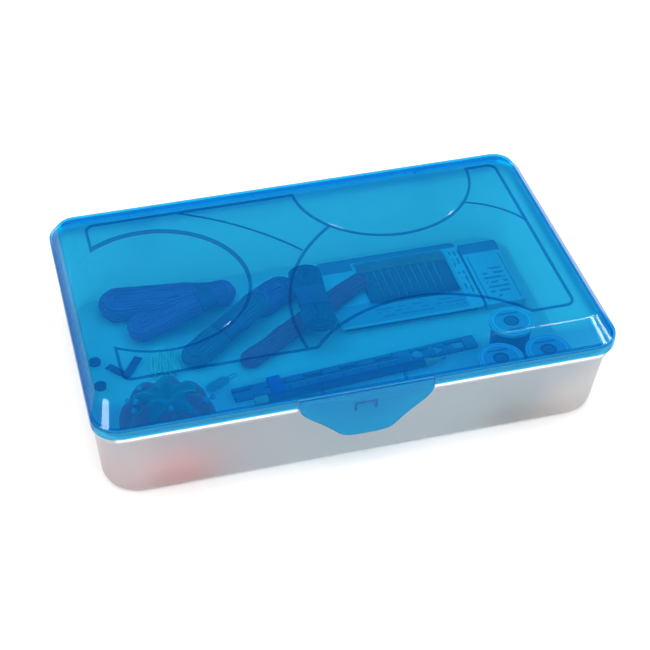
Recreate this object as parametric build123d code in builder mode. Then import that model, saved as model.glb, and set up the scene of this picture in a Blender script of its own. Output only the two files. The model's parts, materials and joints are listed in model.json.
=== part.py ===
"""A hinged plastic supply case: a frosted tub, a clear blue lid and a flexing front latch.

It is stored full of sewing notions: a tomato pincushion, thread spools, floss skeins,
a seam gauge, a pencil and carded needles. Millimetres, +Z up, +X to the right, +Y to
the hinge side. The origin is the centre of the tub's flat underside.
"""

import os
from math import atan2, cos, degrees, radians, sin, sqrt

from build123d import *

os.makedirs("parts", exist_ok=True)

# Case, outside
CASE_W, CASE_D, CASE_H = 340.0, 218.8, 72.0
RIM_R = 18.0  # plan radius of the lid's corners
WALL = 1.8

# Tub
TUB_TOP_Z = 62.0
TUB_BOTTOM_W, TUB_BOTTOM_D, TUB_BOTTOM_R = 329.0, 198.0, 25.0
TUB_TOP_W, TUB_TOP_D, TUB_TOP_R = 334.8, 213.6, 16.5
TUB_EDGE_R = 4.4
FLOOR_Z = WALL
LEDGE_Z, LEDGE_T, LEDGE_OUT = 54.7, 2.7, 1.6
BAND_Z, BAND_OUT = 51.6, 0.2
LEDGE_NOTCH_W = 88.4  # gap in the ledge behind the latch

# Lid
SKIRT_Z = 57.7
RIDGE_Z = 64.5
TOP_W, TOP_D, TOP_Y, TOP_R = 327.0, 191.5, 7.75, 12.0
CEILING_Z, CEILING_R = CASE_H - WALL, 11.0
INNER_RIDGE_Z = 63.4
TOP_EDGE_R, RIDGE_EDGE_R = 3.0, 1.5
GUSSET_X, GUSSET_T = 27.0, 1.6
GUSSET_SHAPE = ((-104.2, 59.6), (-104.2, 65.2), (-90.0, 70.4), (-92.0, 69.4))  # y, z

# Line pattern on the lid, cut as shallow grooves
GROOVE_DEPTH, GROOVE_W, THIN_GROOVE_W = 0.6, 2.0, 1.2
CRESCENT_W, CRESCENT_BITE = 1.4, 1.2
FRAME_X0, FRAME_X1, FRAME_Y0, FRAME_Y1, FRAME_R = -146.0, 151.0, -73.0, 91.0, 7.0
DISC_A = (-110.5, 12.0, 63.0)  # centre x, centre y, radius
DISC_B = (65.0, 92.0, 64.0)
SWEEP_C = (91.0, -48.0, 121.6)
SWEEP_D = (49.5, -133.0, 94.0)
FINE_E = (-173.0, -95.0, 206.0)
FINE_F = (95.0, -7.0, 62.0)
# Where each line is kept: x0, y0, x1, y1
FRAME_CLIP = (FRAME_X0, FRAME_Y0, FRAME_X1, FRAME_Y1)
SWEEP_C_CLIP = (-40.0, FRAME_Y0, 17.0, 49.0)
FINE_E_CLIP = (-85.0, 27.0, -7.0, FRAME_Y1)
FINE_F_CLIP = (113.0, 22.0, FRAME_X1, 53.0)

# Hinge at the back
HINGE_Y, HINGE_Z = 112.4, 54.6
HINGE_ROD_R, HINGE_BORE_R = 1.8, 1.87
HINGE_X, KNUCKLE_W, KNUCKLE_R = 105.0, 14.0, 3.4
EAR_T, EAR_R, EAR_GAP = 2.6, 2.9, 0.4
EAR_ROOT_Y, EAR_ROOT_DROP, EAR_ROOT_H = 106.0, 0.4, 4.6
KNUCKLE_ROOT_INSET, KNUCKLE_ROOT_H = 0.2, 5.4
ROOT_SLIVER = 0.6  # thickness of the flat that an ear or knuckle grows from

# Latch at the front
LATCH_HALF_W, LATCH_LOW_Z = 43.5, 28.0
LATCH_OUT_Y, LATCH_T = -110.4, 1.8
LATCH_PIVOT_Y, LATCH_PIVOT_Z = -109.5, 63.0
CATCH_HALF_W, CATCH_LOW_Z, CATCH_TOP_Z, CATCH_RIB = 7.5, 46.0, 52.6, 1.6
CATCH_FRONT_Y, CATCH_ROOT_Y = -107.9, -102.8
BEAD_BACK_Y, BEAD_Z, BEAD_W, BEAD_H, BEAD_R, BEAD_ROOT = -108.1, 49.0, 9.0, 2.6, 0.8, 1.3
# Right half of the latch's outline below its square shoulders: x, z
LATCH_SHOULDER_Z = 57.5
LATCH_CURVE = ((39.5, 50.3), (30.0, 42.4), (20.0, 33.4))
LATCH_GAP_D, LATCH_GAP_TOP_Z = 4.4, 64.2

CLEAR = 0.3


def save(solid, name):
    """Label a finished piece and write it as its own STEP file."""
    solid.label = name
    export_step(solid, f"parts/{name}.step")


def ring(place, width, clip, bite=0.0):
    """Part of a circular line on the lid's top, kept inside the rectangle clip.

    bite moves the inner circle down, so that the line is thicker along its top.
    """
    x, y, r = place
    x0, y0, x1, y1 = clip
    with BuildSketch(Plane.XY.offset(CASE_H)) as line:
        with Locations((x, y)):
            Circle(r + width / 2)
        with Locations((x, y - bite)):
            Circle(r - width / 2 - bite, mode=Mode.SUBTRACT)
        with Locations(((x0 + x1) / 2, (y0 + y1) / 2)):
            Rectangle(x1 - x0, y1 - y0, mode=Mode.INTERSECT)
    return line.sketch


# ---------------------------------------------------------------- tub

with BuildPart() as cavity:
    with BuildSketch(Plane.XY.offset(FLOOR_Z)):
        RectangleRounded(TUB_BOTTOM_W - 2 * WALL, TUB_BOTTOM_D - 2 * WALL, TUB_BOTTOM_R - WALL)
    with BuildSketch(Plane.XY.offset(TUB_TOP_Z)):
        RectangleRounded(TUB_TOP_W - 2 * WALL, TUB_TOP_D - 2 * WALL, TUB_TOP_R - WALL)
    loft(ruled=True)
    fillet(cavity.faces().sort_by(Axis.Z)[0].edges(), TUB_EDGE_R - WALL)

with BuildPart() as tub:
    with BuildSketch():
        RectangleRounded(TUB_BOTTOM_W, TUB_BOTTOM_D, TUB_BOTTOM_R)
    with BuildSketch(Plane.XY.offset(TUB_TOP_Z)):
        RectangleRounded(TUB_TOP_W, TUB_TOP_D, TUB_TOP_R)
    loft(ruled=True)
    fillet(tub.faces().sort_by(Axis.Z)[0].edges(), TUB_EDGE_R)
    # The band under the rim, and the ledge that the lid's skirt stops on
    with BuildSketch(Plane.XY.offset(BAND_Z)):
        RectangleRounded(TUB_TOP_W + 2 * BAND_OUT, TUB_TOP_D + 2 * BAND_OUT, TUB_TOP_R)
    extrude(amount=LEDGE_Z - BAND_Z)
    with BuildSketch(Plane.XY.offset(LEDGE_Z)):
        RectangleRounded(
            TUB_TOP_W + 2 * LEDGE_OUT,
            TUB_TOP_D + 2 * LEDGE_OUT,
            TUB_TOP_R + LEDGE_OUT,
        )
        with Locations((0, -TUB_TOP_D / 2 - LEDGE_OUT)):
            Rectangle(LEDGE_NOTCH_W, 2 * LEDGE_OUT, mode=Mode.SUBTRACT)
    extrude(amount=LEDGE_T)
    # Two pairs of hinge ears, each pair holding a moulded rod
    for side in (-1, 1):
        for end in (-1, 1):
            near = side * HINGE_X + end * (KNUCKLE_W / 2 + EAR_GAP)
            with BuildSketch(Plane.YZ.offset(near)):
                with Locations((HINGE_Y, HINGE_Z)):
                    Circle(EAR_R)
                with Locations((EAR_ROOT_Y, HINGE_Z - EAR_ROOT_DROP)):
                    Rectangle(ROOT_SLIVER, EAR_ROOT_H)
                make_hull()
            extrude(amount=end * EAR_T)
        with BuildSketch(Plane.YZ.offset(side * HINGE_X)):
            with Locations((HINGE_Y, HINGE_Z)):
                Circle(HINGE_ROD_R)
        extrude(amount=KNUCKLE_W / 2 + EAR_GAP + EAR_T / 2, both=True)
    # The catch: a bar with two legs on the front wall, open below
    with BuildSketch(Plane.XZ.offset(-CATCH_FRONT_Y)):
        with Locations((0, (CATCH_LOW_Z + CATCH_TOP_Z) / 2)):
            Rectangle(2 * CATCH_HALF_W, CATCH_TOP_Z - CATCH_LOW_Z)
        with Locations((0, (CATCH_LOW_Z + CATCH_TOP_Z) / 2 - CATCH_RIB)):
            Rectangle(2 * (CATCH_HALF_W - CATCH_RIB), CATCH_TOP_Z - CATCH_LOW_Z, mode=Mode.SUBTRACT)
    extrude(amount=CATCH_FRONT_Y - CATCH_ROOT_Y)
    add(cavity.part, mode=Mode.SUBTRACT)
save(tub.part, "tub")

# ---------------------------------------------------------------- lid

with BuildPart() as lid_hollow:
    with BuildSketch(Plane.XY.offset(SKIRT_Z)):
        RectangleRounded(CASE_W - 2 * WALL, CASE_D - 2 * WALL, RIM_R - WALL)
    extrude(amount=INNER_RIDGE_Z - SKIRT_Z)
    with BuildSketch(Plane.XY.offset(INNER_RIDGE_Z)):
        RectangleRounded(CASE_W - 2 * WALL, CASE_D - 2 * WALL, RIM_R - WALL)
    with BuildSketch(Plane.XY.offset(CEILING_Z)):
        with Locations((0, TOP_Y)):
            RectangleRounded(TOP_W - WALL, TOP_D - WALL, CEILING_R)
    loft(ruled=True)

with BuildPart() as lid:
    with BuildSketch(Plane.XY.offset(SKIRT_Z)):
        RectangleRounded(CASE_W, CASE_D, RIM_R)
    extrude(amount=RIDGE_Z - SKIRT_Z)
    with BuildSketch(Plane.XY.offset(RIDGE_Z)):
        RectangleRounded(CASE_W, CASE_D, RIM_R)
    with BuildSketch(Plane.XY.offset(CASE_H)):
        with Locations((0, TOP_Y)):
            RectangleRounded(TOP_W, TOP_D, TOP_R)
    loft(ruled=True)
    fillet(lid.faces().sort_by(Axis.Z)[-1].edges(), TOP_EDGE_R)
    ridge = lid.edges().filter_by(lambda e: abs(e.center().Z - RIDGE_Z) < 0.01)
    fillet(ridge, RIDGE_EDGE_R)
    add(lid_hollow.part, mode=Mode.SUBTRACT)

    # Stiffening gussets under the front slope, one each side of the latch
    for x in (-GUSSET_X, GUSSET_X):
        with BuildSketch(Plane.YZ.offset(x)):
            with BuildLine():
                Polyline(*GUSSET_SHAPE, close=True)
            make_face()
        extrude(amount=GUSSET_T / 2, both=True)

    # The line pattern
    with BuildSketch(Plane.XY.offset(CASE_H)) as frame_line:
        with Locations(((FRAME_X0 + FRAME_X1) / 2, (FRAME_Y0 + FRAME_Y1) / 2)):
            RectangleRounded(FRAME_X1 - FRAME_X0, FRAME_Y1 - FRAME_Y0, FRAME_R)
            RectangleRounded(
                FRAME_X1 - FRAME_X0 - 2 * GROOVE_W,
                FRAME_Y1 - FRAME_Y0 - 2 * GROOVE_W,
                FRAME_R - GROOVE_W,
                mode=Mode.SUBTRACT,
            )
        for x, y, r in (DISC_A, DISC_B, SWEEP_D):
            with Locations((x, y)):
                Circle(r, mode=Mode.SUBTRACT)
    extrude(frame_line.sketch, amount=-GROOVE_DEPTH, mode=Mode.SUBTRACT)
    for line in (
        ring(DISC_A, CRESCENT_W, FRAME_CLIP, bite=CRESCENT_BITE),
        ring(DISC_B, GROOVE_W, FRAME_CLIP),
        ring(SWEEP_C, GROOVE_W, SWEEP_C_CLIP),
        ring(SWEEP_D, GROOVE_W, FRAME_CLIP),
        ring(FINE_E, THIN_GROOVE_W, FINE_E_CLIP),
        ring(FINE_F, THIN_GROOVE_W, FINE_F_CLIP),
    ):
        extrude(line, amount=-GROOVE_DEPTH, mode=Mode.SUBTRACT)

    # The latch stands in this gap in the skirt
    with BuildSketch(Plane.XY.offset(SKIRT_Z - 1)):
        with Locations((0, -CASE_D / 2)):
            Rectangle(2 * (LATCH_HALF_W + CLEAR), LATCH_GAP_D)
    extrude(amount=LATCH_GAP_TOP_Z - SKIRT_Z + 1, mode=Mode.SUBTRACT)

    # Hinge knuckles, each round one rod of the tub
    for side in (-1, 1):
        with BuildSketch(Plane.YZ.offset(side * HINGE_X)):
            with Locations((HINGE_Y, HINGE_Z)):
                Circle(KNUCKLE_R)
            with Locations((CASE_D / 2 - ROOT_SLIVER / 2, (SKIRT_Z + RIDGE_Z) / 2 - KNUCKLE_ROOT_INSET)):
                Rectangle(ROOT_SLIVER, KNUCKLE_ROOT_H)
            make_hull()
            with Locations((HINGE_Y, HINGE_Z)):
                Circle(HINGE_BORE_R, mode=Mode.SUBTRACT)
        extrude(amount=KNUCKLE_W / 2, both=True)
save(lid.part, "lid")

# ---------------------------------------------------------------- latch

with BuildPart() as latch_tab:
    with BuildSketch(Plane.XZ.offset(-LATCH_OUT_Y)):
        with BuildLine():
            Polyline((0, LATCH_PIVOT_Z), (LATCH_HALF_W, LATCH_PIVOT_Z), (LATCH_HALF_W, LATCH_SHOULDER_Z))
            Spline(
                (LATCH_HALF_W, LATCH_SHOULDER_Z),
                *LATCH_CURVE,
                (0, LATCH_LOW_Z),
                tangents=((-0.2, -1), (-1, 0)),
            )
            mirror(about=Plane.YZ)
        make_face()
    extrude(amount=-LATCH_T)
    # Rounded hinge edge at the top
    with BuildSketch(Plane.YZ):
        with Locations((LATCH_PIVOT_Y, LATCH_PIVOT_Z)):
            Circle(LATCH_T / 2)
    extrude(amount=LATCH_HALF_W, both=True)
    # Catch bead inside, under the tub's catch bar
    with BuildSketch(Plane.XZ.offset(-BEAD_BACK_Y)):
        with Locations((0, BEAD_Z)):
            RectangleRounded(BEAD_W, BEAD_H, BEAD_R)
    extrude(amount=BEAD_ROOT)
save(latch_tab.part, "latch_tab")

# ---------------------------------------------------------------- pincushion

CUSHION_X, CUSHION_Y, CUSHION_R, CUSHION_TOP_Z = -118.5, -63.2, 33.0, 46.0
CUSHION_FOOT_R, CUSHION_CROWN_R, CUSHION_DIMPLE_Z = 18.0, 16.0, 42.0
LEAF_T, LEAF_COUNT, LEAF_R, LEAF_NECK_R, LEAF_ROUND, LEAF_LOW_Z = 1.4, 5, 25.5, 13.5, 3.0, 32.0
BIG_R, BIG_H = 60.0, 60.0  # larger than the cushion, for cutting it


def cushion_profile(grow):
    """Half section of the cushion, grown outward above its foot."""
    with BuildSketch(Plane.XZ) as half_section:
        with BuildLine():
            foot = Line((0, FLOOR_Z), (CUSHION_FOOT_R, FLOOR_Z))
            side = Spline(
                foot @ 1,
                (CUSHION_R + grow, (FLOOR_Z + CUSHION_TOP_Z) / 2),
                (CUSHION_CROWN_R, CUSHION_TOP_Z + grow),
                (0, CUSHION_DIMPLE_Z + grow),
                tangents=((1, 0), (-1, 0)),
            )
            Line(side @ 1, foot @ 0)
        make_face()
    return half_section.sketch


with BuildPart() as cushion_at_axis:
    add(cushion_profile(0.0))
    revolve(axis=Axis.Z)

with BuildPart() as leaves_at_axis:
    add(cushion_profile(LEAF_T))
    revolve(axis=Axis.Z)
    with BuildSketch(Plane.XY.offset(FLOOR_Z)) as star:
        with BuildLine():
            corners = []
            for step in range(2 * LEAF_COUNT):
                turn = radians(90 + 180 / LEAF_COUNT * step)
                reach = LEAF_NECK_R if step % 2 else LEAF_R
                corners.append((reach * cos(turn), reach * sin(turn)))
            Polyline(*corners, close=True)
        make_face()
        fillet(star.vertices(), LEAF_ROUND)
    extrude(star.sketch, amount=BIG_H, mode=Mode.INTERSECT)
    add(cushion_at_axis.part, mode=Mode.SUBTRACT)
    with BuildSketch() as below:
        Circle(BIG_R)
    extrude(below.sketch, amount=LEAF_LOW_Z, mode=Mode.SUBTRACT)

with BuildPart() as pincushion_body:
    add(cushion_at_axis.part.moved(Location((CUSHION_X, CUSHION_Y, 0))))
save(pincushion_body.part, "pincushion_body")

with BuildPart() as pincushion_leaves:
    add(leaves_at_axis.part.moved(Location((CUSHION_X, CUSHION_Y, 0))))
save(pincushion_leaves.part, "pincushion_leaves")

# Ball-head pins: turn about the cushion's axis, and lean from upright
PIN_R, PIN_HEAD_R, PIN_OUT, PIN_IN = 0.35, 1.9, 5.0, 16.0
PIN_PLACES = ((180, 48), (-168, 40), (-156, 48), (-90, 34), (-23, 50), (-11, 58), (158, 34))
CUSHION_MIDDLE_Z, CUSHION_HALF_H = (FLOOR_Z + CUSHION_TOP_Z) / 2, 24.0


def pin_plane(turn, lean):
    """A plane on the cushion's skin whose normal is the pin's direction."""
    across, up = sin(radians(lean)), cos(radians(lean))
    out = Vector(across * cos(radians(turn)), across * sin(radians(turn)), up)
    middle = Vector(CUSHION_X, CUSHION_Y, CUSHION_MIDDLE_Z)
    reach = 1 / sqrt((across / CUSHION_R) ** 2 + (up / CUSHION_HALF_H) ** 2)
    return Plane(origin=middle + out * reach, z_dir=out)


with BuildPart() as pin_shafts:
    for turn, lean in PIN_PLACES:
        with BuildSketch(pin_plane(turn, lean).offset(-PIN_IN)):
            Circle(PIN_R)
        extrude(amount=PIN_IN + PIN_OUT - PIN_HEAD_R)
save(pin_shafts.part, "pin_shafts")

with BuildPart() as pin_heads:
    for turn, lean in PIN_PLACES:
        with Locations(pin_plane(turn, lean).offset(PIN_OUT)):
            Sphere(PIN_HEAD_R)
    add(pin_shafts.part, mode=Mode.SUBTRACT)
save(pin_heads.part, "pin_heads")

# ---------------------------------------------------------------- thread spools

SPOOL_R, SPOOL_H, FLANGE_T, HUB_R, BORE_R, WINDING_R = 15.2, 37.0, 2.2, 7.5, 3.6, 13.4
LABEL_R, LABEL_T = 13.6, 0.3
SPOOL_PLACES = {"front": (100.5, -76.0), "side": (133.5, -75.5), "back": (119.5, -42.0)}

for spool_name, (x, y) in SPOOL_PLACES.items():
    with BuildPart() as spool:
        with BuildSketch(Plane.XY.offset(FLOOR_Z)):
            with Locations((x, y)):
                Circle(SPOOL_R)
        extrude(amount=FLANGE_T)
        with BuildSketch(Plane.XY.offset(FLOOR_Z)):
            with Locations((x, y)):
                Circle(HUB_R)
        extrude(amount=SPOOL_H)
        with BuildSketch(Plane.XY.offset(FLOOR_Z + SPOOL_H - FLANGE_T)):
            with Locations((x, y)):
                Circle(SPOOL_R)
        extrude(amount=FLANGE_T)
        with BuildSketch(Plane.XY.offset(FLOOR_Z)):
            with Locations((x, y)):
                Circle(BORE_R)
        extrude(amount=SPOOL_H, mode=Mode.SUBTRACT)
    save(spool.part, f"spool_{spool_name}")

    with BuildPart() as winding:
        with BuildSketch(Plane.XY.offset(FLOOR_Z + FLANGE_T)):
            with Locations((x, y)):
                Circle(WINDING_R)
                Circle(HUB_R, mode=Mode.SUBTRACT)
        extrude(amount=SPOOL_H - 2 * FLANGE_T)
    save(winding.part, f"thread_{spool_name}")

    with BuildPart() as label_disc:
        with BuildSketch(Plane.XY.offset(FLOOR_Z + SPOOL_H)):
            with Locations((x, y)):
                Circle(LABEL_R)
                Circle(BORE_R, mode=Mode.SUBTRACT)
        extrude(amount=LABEL_T)
    save(label_disc.part, f"label_{spool_name}")

# ---------------------------------------------------------------- seam gauge and its slider

GAUGE_LEFT, GAUGE_RIGHT = (-69.5, -29.0), (105.0, -16.0)
GAUGE_W, GAUGE_T, GAUGE_SLOT_W, GAUGE_CORNER_R = 12.5, 1.4, 2.6, 1.5
GAUGE_SPAN = Vector(*GAUGE_RIGHT) - Vector(*GAUGE_LEFT)
GAUGE_L = GAUGE_SPAN.length
SLOT_X0, SLOT_X1 = 22.0, 118.0
SLIDER_X, SLIDER_L, SLIDER_SIDE, SLIDER_T = 30.0, 9.0, 1.6, 1.6
# Marking holes at the right end: distance from that end, and size
ROUND_HOLE_AT, ROUND_HOLE_R = 43.0, 4.2
TRIANGLE_HOLE_AT, TRIANGLE_HOLE_R = 28.0, 5.2
SQUARE_HOLE_AT, SQUARE_HOLE_L, SQUARE_HOLE_W = 13.0, 8.0, 7.0
gauge_plane = Plane(origin=(*GAUGE_LEFT, FLOOR_Z), x_dir=GAUGE_SPAN, z_dir=(0, 0, 1))

with BuildPart() as seam_gauge:
    with BuildSketch(gauge_plane):
        with Locations((GAUGE_L / 2, 0)):
            RectangleRounded(GAUGE_L, GAUGE_W, GAUGE_CORNER_R)
        with Locations(((SLOT_X0 + SLOT_X1) / 2, 0)):
            SlotOverall(SLOT_X1 - SLOT_X0, GAUGE_SLOT_W, mode=Mode.SUBTRACT)
        with Locations((GAUGE_L - ROUND_HOLE_AT, 0)):
            Circle(ROUND_HOLE_R, mode=Mode.SUBTRACT)
        with Locations((GAUGE_L - TRIANGLE_HOLE_AT, 0)):
            RegularPolygon(TRIANGLE_HOLE_R, 3, mode=Mode.SUBTRACT)
        with Locations((GAUGE_L - SQUARE_HOLE_AT, 0)):
            Rectangle(SQUARE_HOLE_L, SQUARE_HOLE_W, mode=Mode.SUBTRACT)
    extrude(amount=GAUGE_T)
save(seam_gauge.part, "seam_gauge")

with BuildPart() as gauge_slider:
    # A saddle over the blade, with a tongue that runs in the slot
    with BuildSketch(gauge_plane):
        with Locations((SLIDER_X, 0)):
            Rectangle(SLIDER_L, GAUGE_W + 2 * (SLIDER_SIDE + CLEAR))
            Rectangle(SLIDER_L, GAUGE_W + 2 * CLEAR, mode=Mode.SUBTRACT)
            Rectangle(SLIDER_L, GAUGE_SLOT_W - 2 * CLEAR)
    extrude(amount=GAUGE_T + CLEAR)
    with BuildSketch(gauge_plane.offset(GAUGE_T + CLEAR)):
        with Locations((SLIDER_X, 0)):
            Rectangle(SLIDER_L, GAUGE_W + 2 * (SLIDER_SIDE + CLEAR))
    extrude(amount=SLIDER_T)
save(gauge_slider.part, "gauge_slider")

# ---------------------------------------------------------------- pencil

PENCIL_BACK, PENCIL_L, PENCIL_R, PENCIL_TIP_L = (-57.0, -40.0), 137.0, 3.0, 16.0
LEAD_R, LEAD_OUT, LEAD_POINT_R, WOOD_AT_LEAD = 0.9, 3.0, 0.25, 0.2
PENCIL_DIR = Vector(137.0, 10.4).normalized()
pencil_plane = Plane(
    origin=(*PENCIL_BACK, FLOOR_Z + PENCIL_R * cos(radians(30))),
    x_dir=(-PENCIL_DIR.Y, PENCIL_DIR.X, 0),
    z_dir=PENCIL_DIR,
)

with BuildPart() as pencil_lead:
    with BuildSketch(pencil_plane):
        Circle(LEAD_R)
    extrude(amount=PENCIL_L - LEAD_OUT)
    with BuildSketch(pencil_plane.offset(PENCIL_L - LEAD_OUT)):
        Circle(LEAD_R)
    with BuildSketch(pencil_plane.offset(PENCIL_L)):
        Circle(LEAD_POINT_R)
    loft()
save(pencil_lead.part, "pencil_lead")

with BuildPart() as pencil_barrel:
    with BuildSketch(pencil_plane):
        RegularPolygon(PENCIL_R, 6)
    extrude(amount=PENCIL_L - PENCIL_TIP_L)
    with BuildSketch(pencil_plane.offset(PENCIL_L - PENCIL_TIP_L)):
        RegularPolygon(PENCIL_R, 6)
    with BuildSketch(pencil_plane.offset(PENCIL_L - LEAD_OUT)):
        RegularPolygon(LEAD_R + WOOD_AT_LEAD, 6)
    loft()
    with BuildSketch(pencil_plane):
        Circle(LEAD_R)
    extrude(amount=PENCIL_L, mode=Mode.SUBTRACT)
save(pencil_barrel.part, "pencil_barrel")

# ---------------------------------------------------------------- needle pack and second packet

CARD_X0, CARD_X1, CARD_Y0, CARD_Y1, CARD_T = 17.5, 122.5, 14.0, 90.0, 0.8
TRAY_H, TRAY_INSET, CARD_R, WINDOW_R, PLATE_R = 4.0, 3.0, 3.0, 2.0, 2.0
WINDOW_X0, WINDOW_X1, WINDOW_Y0, WINDOW_Y1, FILM_T, FILM_LAP = 44.5, 111.5, 36.0, 82.0, 0.3, 2.0
STRIP_D, STRIP_T, STRIP_R, STRIP_GAP = 9.0, 0.5, 0.5, 0.5
NEEDLE_R, NEEDLE_COUNT, NEEDLE_PITCH, NEEDLE_X0 = 0.4, 9, 5.6, 56.0
NEEDLE_Y0, NEEDLE_Y1 = WINDOW_Y0 + 2, WINDOW_Y1 - STRIP_D - 1
PACKET_X0, PACKET_X1, PACKET_Y0, PACKET_Y1, PACKET_H = 124.0, 153.0, 14.0, 85.0, 5.4
card_z = FLOOR_Z + TRAY_H


def plate(x0, x1, y0, y1, z, thick, radius):
    """A flat plate with rounded corners between four lines."""
    with BuildPart() as flat:
        with BuildSketch(Plane.XY.offset(z)):
            with Locations(((x0 + x1) / 2, (y0 + y1) / 2)):
                RectangleRounded(x1 - x0, y1 - y0, radius)
        extrude(amount=thick)
    return flat.part


with BuildPart() as needle_tray:
    tray_x0, tray_x1 = CARD_X0 + TRAY_INSET, CARD_X1 - TRAY_INSET
    tray_y0, tray_y1 = CARD_Y0 + TRAY_INSET, CARD_Y1 - TRAY_INSET
    add(plate(tray_x0, tray_x1, tray_y0, tray_y1, FLOOR_Z, TRAY_H, CARD_R))
save(needle_tray.part, "needle_tray")

with BuildPart() as needle_card:
    window = plate(WINDOW_X0, WINDOW_X1, WINDOW_Y0, WINDOW_Y1, card_z, CARD_T, WINDOW_R)
    add(plate(CARD_X0, CARD_X1, CARD_Y0, CARD_Y1, card_z, CARD_T, CARD_R))
    add(window, mode=Mode.SUBTRACT)
save(needle_card.part, "needle_card")

with BuildPart() as card_window:
    film_x0, film_x1 = WINDOW_X0 - FILM_LAP, WINDOW_X1 + FILM_LAP
    film_y0, film_y1 = WINDOW_Y0 - FILM_LAP, WINDOW_Y1 + FILM_LAP
    add(plate(film_x0, film_x1, film_y0, film_y1, card_z + CARD_T, FILM_T, CARD_R))
save(card_window.part, "card_window")

with BuildPart() as needle_strip:
    strip_x0, strip_x1 = WINDOW_X0 + STRIP_GAP, WINDOW_X1 - STRIP_GAP
    strip_y1 = WINDOW_Y1 - STRIP_GAP
    add(plate(strip_x0, strip_x1, strip_y1 - STRIP_D, strip_y1, card_z, STRIP_T, STRIP_R))
save(needle_strip.part, "needle_strip")

with BuildPart() as hand_needles:
    for count in range(NEEDLE_COUNT):
        needle_x = NEEDLE_X0 + NEEDLE_PITCH * count
        with BuildSketch(Plane.XZ.offset(-NEEDLE_Y0)):
            with Locations((needle_x, card_z + NEEDLE_R)):
                Circle(NEEDLE_R)
        extrude(amount=NEEDLE_Y0 - NEEDLE_Y1)
save(hand_needles.part, "hand_needles")

with BuildPart() as notion_packet:
    add(plate(PACKET_X0, PACKET_X1, PACKET_Y0, PACKET_Y1, FLOOR_Z, PACKET_H, PLATE_R))
save(notion_packet.part, "notion_packet")

# ---------------------------------------------------------------- floss skeins

SKEIN_ROUND = 0.38  # edge radius, as a share of the skein's thickness
BAND_OVER = 0.6  # paper above the skein


def skein_plane(start, end):
    """A plane along a skein, from the middle of one end to the other, top side up."""
    along = Vector(*end) - Vector(*start)
    flat = Vector(along.X, along.Y, 0).normalized()
    lift = Vector(-flat.X * along.Z, -flat.Y * along.Z, sqrt(along.X**2 + along.Y**2))
    return Plane(origin=start, x_dir=along, z_dir=lift.normalized()), along.length


def skein(start, end, radius_start, radius_end, thick):
    """A flat bundle of looped thread, one radius at each end, with rounded edges."""
    plane, length = skein_plane(start, end)
    with BuildPart() as bundle:
        with BuildSketch(plane):
            Circle(radius_start)
            with Locations((length, 0)):
                Circle(radius_end)
            make_hull()
        extrude(amount=thick)
        fillet(bundle.edges(), thick * SKEIN_ROUND)
    return bundle.part


def paper_band(start, end, at, width, reach, thick, hole):
    """A paper sleeve over a skein: a block around it with the skein itself cut out."""
    plane, length = skein_plane(start, end)
    with BuildPart() as sleeve:
        with BuildSketch(plane):
            with Locations((length * at, 0)):
                Rectangle(width, 2 * reach)
        extrude(amount=thick + BAND_OVER)
        add(hole, mode=Mode.SUBTRACT)
    return sleeve.part


# start, end, radius at start, radius at end, thickness
SKEINS = {
    "purple": ((-128.5, 78.6, 2.0), (-56.0, 73.0, 2.0), 15.2, 11.5, 12.0),
    "plum": ((-114.5, 49.0, 4.6), (-60.0, 56.2, 18.2), 12.3, 9.5, 10.0),
    "violet": ((-33.0, 56.0, 2.0), (-13.0, 68.0, 2.0), 13.0, 13.0, 9.0),
    "grey": ((-85.0, 13.0, 3.4), (-36.0, 44.0, 14.2), 11.0, 10.0, 9.0),
    "red": ((-51.0, 0.5, 2.2), (41.0, 56.0, 8.6), 7.5, 7.5, 8.0),
    "navy": ((1.0, 12.0, 16.8), (3.0, 63.0, 16.8), 11.5, 11.5, 7.0),
    "ecru": ((-109.2, 8.0, 2.0), (-109.2, 20.0, 2.0), 12.0, 12.0, 8.0),
}
skein_parts = {}
for colour, (start, end, radius_start, radius_end, thick) in SKEINS.items():
    skein_parts[colour] = skein(start, end, radius_start, radius_end, thick)
    save(skein_parts[colour], f"skein_{colour}")

# colour: place along the skein from 0 to 1, width, half reach across
BANDS = {
    "purple": (0.86, 14.0, 13.1),
    "plum": (0.84, 12.0, 11.1),
    "grey": (0.5, 12.0, 10.9),
    "navy": (0.5, 20.0, 12.1),
}
for colour, (at, width, reach) in BANDS.items():
    start, end, radius_start, radius_end, thick = SKEINS[colour]
    band = paper_band(start, end, at, width, reach, thick, skein_parts[colour])
    save(band, f"band_{colour}")

# ---------------------------------------------------------------- small things

THREADER_X, THREADER_Y, THREADER_TURN, THREADER_L, THREADER_W = -77.0, -14.5, 28.0, 18.0, 8.0
THREADER_T, WIRE_T, WIRE_OUT, WIRE_L, WIRE_W, WIRE_WALL = 0.8, 0.4, 3.5, 7.0, 3.4, 0.8
BUTTON_R, BUTTON_T, BUTTON_HOLE_R, BUTTON_HOLE_PITCH = 4.0, 2.2, 0.7, 2.2
BUTTON_PLACES = ((-153.6, 28.0), (-153.7, 3.0))
RIBBON_POINTS, RIBBON_W, RIBBON_T = ((-145.0, 21.5), (-134.5, 9.5), (-124.8, 24.5)), 6.5, 2.4

threader_plane = Plane(
    origin=(THREADER_X, THREADER_Y, FLOOR_Z),
    x_dir=(cos(radians(THREADER_TURN)), sin(radians(THREADER_TURN)), 0),
    z_dir=(0, 0, 1),
)
with BuildPart() as threader_plate:
    with BuildSketch(threader_plane):
        SlotOverall(THREADER_L, THREADER_W)
    extrude(amount=THREADER_T)
save(threader_plate.part, "threader_plate")

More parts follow.
